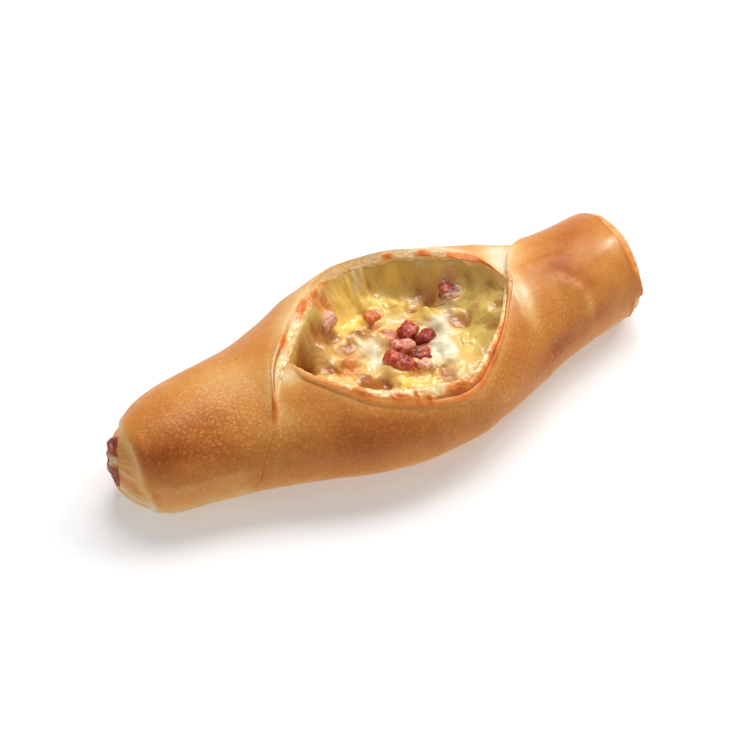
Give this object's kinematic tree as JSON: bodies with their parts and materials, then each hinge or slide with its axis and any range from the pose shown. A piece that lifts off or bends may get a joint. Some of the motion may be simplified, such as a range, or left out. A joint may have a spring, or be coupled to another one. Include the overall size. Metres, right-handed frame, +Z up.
{
  "type": "peinirli",
  "caption": "Boat-shaped rolled bread, open in the middle over melted cheese and diced ham, with closed tube ends.",
  "frame": {"origin": "under the middle of the bread's box, on the surface it rests on", "axes": "+X along the roll towards its blunter end, +Z up, -Y towards the lower, near lip"},
  "size_m": [0.2416, 0.0988, 0.05],
  "materials": {
    "baked_crust": "satin",
    "melted_cheese": "gloss",
    "diced_ham": "satin"
  },
  "bodies": {
    "root": {"bread": "baked_crust", "filling": "melted_cheese", "ham_1": "diced_ham", "ham_2": "diced_ham", "ham_3": "diced_ham", "ham_4": "diced_ham", "ham_5": "diced_ham", "ham_6": "diced_ham", "ham_7": "diced_ham", "ham_8": "diced_ham", "ham_9": "diced_ham", "ham_10": "diced_ham"}
  },
  "joints": []
}
